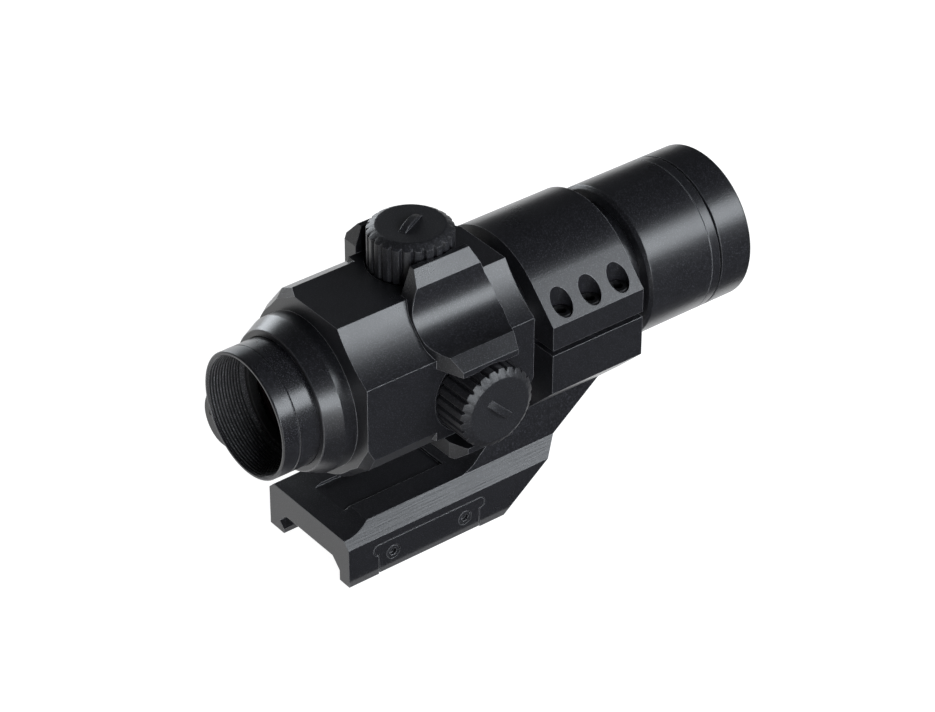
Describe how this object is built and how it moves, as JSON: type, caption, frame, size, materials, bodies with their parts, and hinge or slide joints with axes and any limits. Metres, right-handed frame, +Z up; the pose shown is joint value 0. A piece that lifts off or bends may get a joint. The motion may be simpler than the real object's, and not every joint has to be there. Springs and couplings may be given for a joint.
{
  "type": "finder scope",
  "caption": "Compact unmagnified tube sight with two capped adjusters, side keypad and battery compartment, on a cantilever rail clamp.",
  "frame": {"origin": "middle of the flat that rests on the rail, midway between the two clamp screws", "axes": "+Y forward along the line of sight, +X to the right of a person looking through it, +Z up"},
  "size_m": [0.0603, 0.128, 0.0771],
  "materials": {
    "anodised_black": "bead-blasted and anodised, satin",
    "inner_black": "dull anti-glare black",
    "screw_steel": "black oxide",
    "spring_steel": "bright",
    "dial_brass": "turned",
    "rubber_black": "matte",
    "coated_glass": "red-reflecting coating",
    "circuit_green": "solder mask",
    "cell_wrap": "plain wrapper"
  },
  "bodies": {
    "sight": {"main_housing": "anodised_black", "eyepiece_ring": "anodised_black", "eyepiece_lens": "coated_glass", "eyepiece_retainer": "inner_black", "eyepiece_o_ring": "rubber_black", "objective_barrel": "anodised_black", "objective_end_ring": "anodised_black", "objective_lens": "coated_glass", "objective_retainer": "inner_black", "objective_o_ring": "rubber_black", "yaw_pin_top": "spring_steel", "yaw_pin_bottom": "spring_steel", "leaf_spring": "spring_steel", "elevation_collar": "anodised_black", "windage_collar": "anodised_black", "elevation_detent_ball": "spring_steel", "windage_detent_ball": "spring_steel", "battery": "cell_wrap", "battery_contact": "spring_steel", "control_board": "circuit_green", "plus_switch": "screw_steel", "minus_switch": "screw_steel", "keypad_frame": "anodised_black", "keypad_screw_rear": "screw_steel", "keypad_screw_front": "screw_steel", "ring_cap": "anodised_black", "ring_screw_1": "screw_steel", "ring_screw_2": "screw_steel", "ring_screw_3": "screw_steel", "ring_screw_4": "screw_steel", "ring_screw_5": "screw_steel", "ring_screw_6": "screw_steel", "mount_body": "anodised_black"},
    "elevation_seal": {"elevation_cap_seal": "rubber_black"},
    "elevation_cover": {"elevation_cap": "anodised_black"},
    "elevation_adjuster": {"elevation_dial": "dial_brass"},
    "elevation_pusher": {"elevation_plunger": "spring_steel"},
    "windage_seal": {"windage_cap_seal": "rubber_black"},
    "windage_cover": {"windage_cap": "anodised_black"},
    "windage_adjuster": {"windage_dial": "dial_brass"},
    "windage_pusher": {"windage_plunger": "spring_steel"},
    "gimbal": {"gimbal_ring": "inner_black"},
    "collimator": {"inner_tube": "inner_black", "pitch_pin_right": "spring_steel", "pitch_pin_left": "spring_steel", "reflex_lens": "coated_glass", "emitter_module": "circuit_green"},
    "battery_seal": {"battery_cap_seal": "rubber_black"},
    "battery_cover": {"battery_cap": "anodised_black", "cap_contact": "spring_steel"},
    "plus_key": {"plus_button": "rubber_black"},
    "minus_key": {"minus_button": "rubber_black"},
    "clamp_jaw": {"clamp_plate": "anodised_black"},
    "rear_clamp_screw": {"clamp_screw_rear": "screw_steel"},
    "front_clamp_screw": {"clamp_screw_front": "screw_steel"}
  },
  "joints": [
    {"name": "elevation_cap_lift", "type": "slide", "parent": "sight", "child": "elevation_seal", "axis": [0, 0, 1], "range_m": [0, 0.003]},
    {"name": "elevation_cap_turn", "type": "hinge", "parent": "elevation_seal", "child": "elevation_cover", "pos_m": [0, 0.0067, 0.066], "axis": [0, 0, 1], "range_deg": [0, 1440]},
    {"name": "windage_cap_lift", "type": "slide", "parent": "sight", "child": "windage_seal", "axis": [1, 0, 0], "range_m": [0, 0.003]},
    {"name": "windage_cap_turn", "type": "hinge", "parent": "windage_seal", "child": "windage_cover", "pos_m": [0.027, 0.0067, 0.0395], "axis": [1, 0, 0], "range_deg": [0, 1440]},
    {"name": "battery_cap_lift", "type": "slide", "parent": "sight", "child": "battery_seal", "axis": [0, -1, 0], "range_m": [0, 0.003]},
    {"name": "battery_cap_turn", "type": "hinge", "parent": "battery_seal", "child": "battery_cover", "pos_m": [-0.0205, -0.025, 0.0235], "axis": [0, -1, 0], "range_deg": [0, 1440]},
    {"name": "elevation_dial_turn", "type": "hinge", "parent": "sight", "child": "elevation_adjuster", "pos_m": [0, 0.0067, 0.066], "axis": [0, 0, 1], "range_deg": [-450, 450]},
    {"name": "elevation_plunger_travel", "type": "slide", "parent": "sight", "child": "elevation_pusher", "axis": [0, 0, 1], "range_m": [-0.00063, 0.00063]},
    {"name": "windage_dial_turn", "type": "hinge", "parent": "sight", "child": "windage_adjuster", "pos_m": [0.026, 0.0067, 0.0395], "axis": [1, 0, 0], "range_deg": [-450, 450]},
    {"name": "windage_plunger_travel", "type": "slide", "parent": "sight", "child": "windage_pusher", "axis": [1, 0, 0], "range_m": [-0.00063, 0.00063]},
    {"name": "tube_yaw", "type": "hinge", "parent": "sight", "child": "gimbal", "pos_m": [0, 0.05, 0.0395], "axis": [0, 0, 1], "range_deg": [-0.83, 0.83]},
    {"name": "tube_pitch", "type": "hinge", "parent": "gimbal", "child": "collimator", "pos_m": [0, 0.05, 0.0395], "axis": [1, 0, 0], "range_deg": [-0.83, 0.83]},
    {"name": "plus_press", "type": "slide", "parent": "sight", "child": "plus_key", "axis": [1, 0, 0], "range_m": [0, 0.0006], "stiffness_N_per_m": 800},
    {"name": "minus_press", "type": "slide", "parent": "sight", "child": "minus_key", "axis": [1, 0, 0], "range_m": [0, 0.0006], "stiffness_N_per_m": 800},
    {"name": "clamp_jaw_slide", "type": "slide", "parent": "sight", "child": "clamp_jaw", "axis": [1, 0, 0], "range_m": [0, 0.0014]},
    {"name": "rear_clamp_screw_turn", "type": "hinge", "parent": "clamp_jaw", "child": "rear_clamp_screw", "pos_m": [0.012, -0.01, -0.0009], "axis": [1, 0, 0], "range_deg": [0, 720]},
    {"name": "front_clamp_screw_turn", "type": "hinge", "parent": "clamp_jaw", "child": "front_clamp_screw", "pos_m": [0.012, 0.01, -0.0009], "axis": [1, 0, 0], "range_deg": [0, 720]}
  ],
  "couplings": [
    {"joint": "elevation_cap_turn", "follows": "elevation_cap_lift", "rad_per_m": 8377.6},
    {"joint": "windage_cap_turn", "follows": "windage_cap_lift", "rad_per_m": 8377.6},
    {"joint": "battery_cap_turn", "follows": "battery_cap_lift", "rad_per_m": 8377.6},
    {"joint": "elevation_dial_turn", "follows": "elevation_plunger_travel", "rad_per_m": 12566},
    {"joint": "tube_pitch", "follows": "elevation_plunger_travel", "rad_per_m": -23.09},
    {"joint": "windage_dial_turn", "follows": "windage_plunger_travel", "rad_per_m": 12566},
    {"joint": "tube_yaw", "follows": "windage_plunger_travel", "rad_per_m": 23.09},
    {"joint": "rear_clamp_screw_turn", "follows": "clamp_jaw_slide", "rad_per_m": 8976},
    {"joint": "front_clamp_screw_turn", "follows": "clamp_jaw_slide", "rad_per_m": 8976}
  ]
}
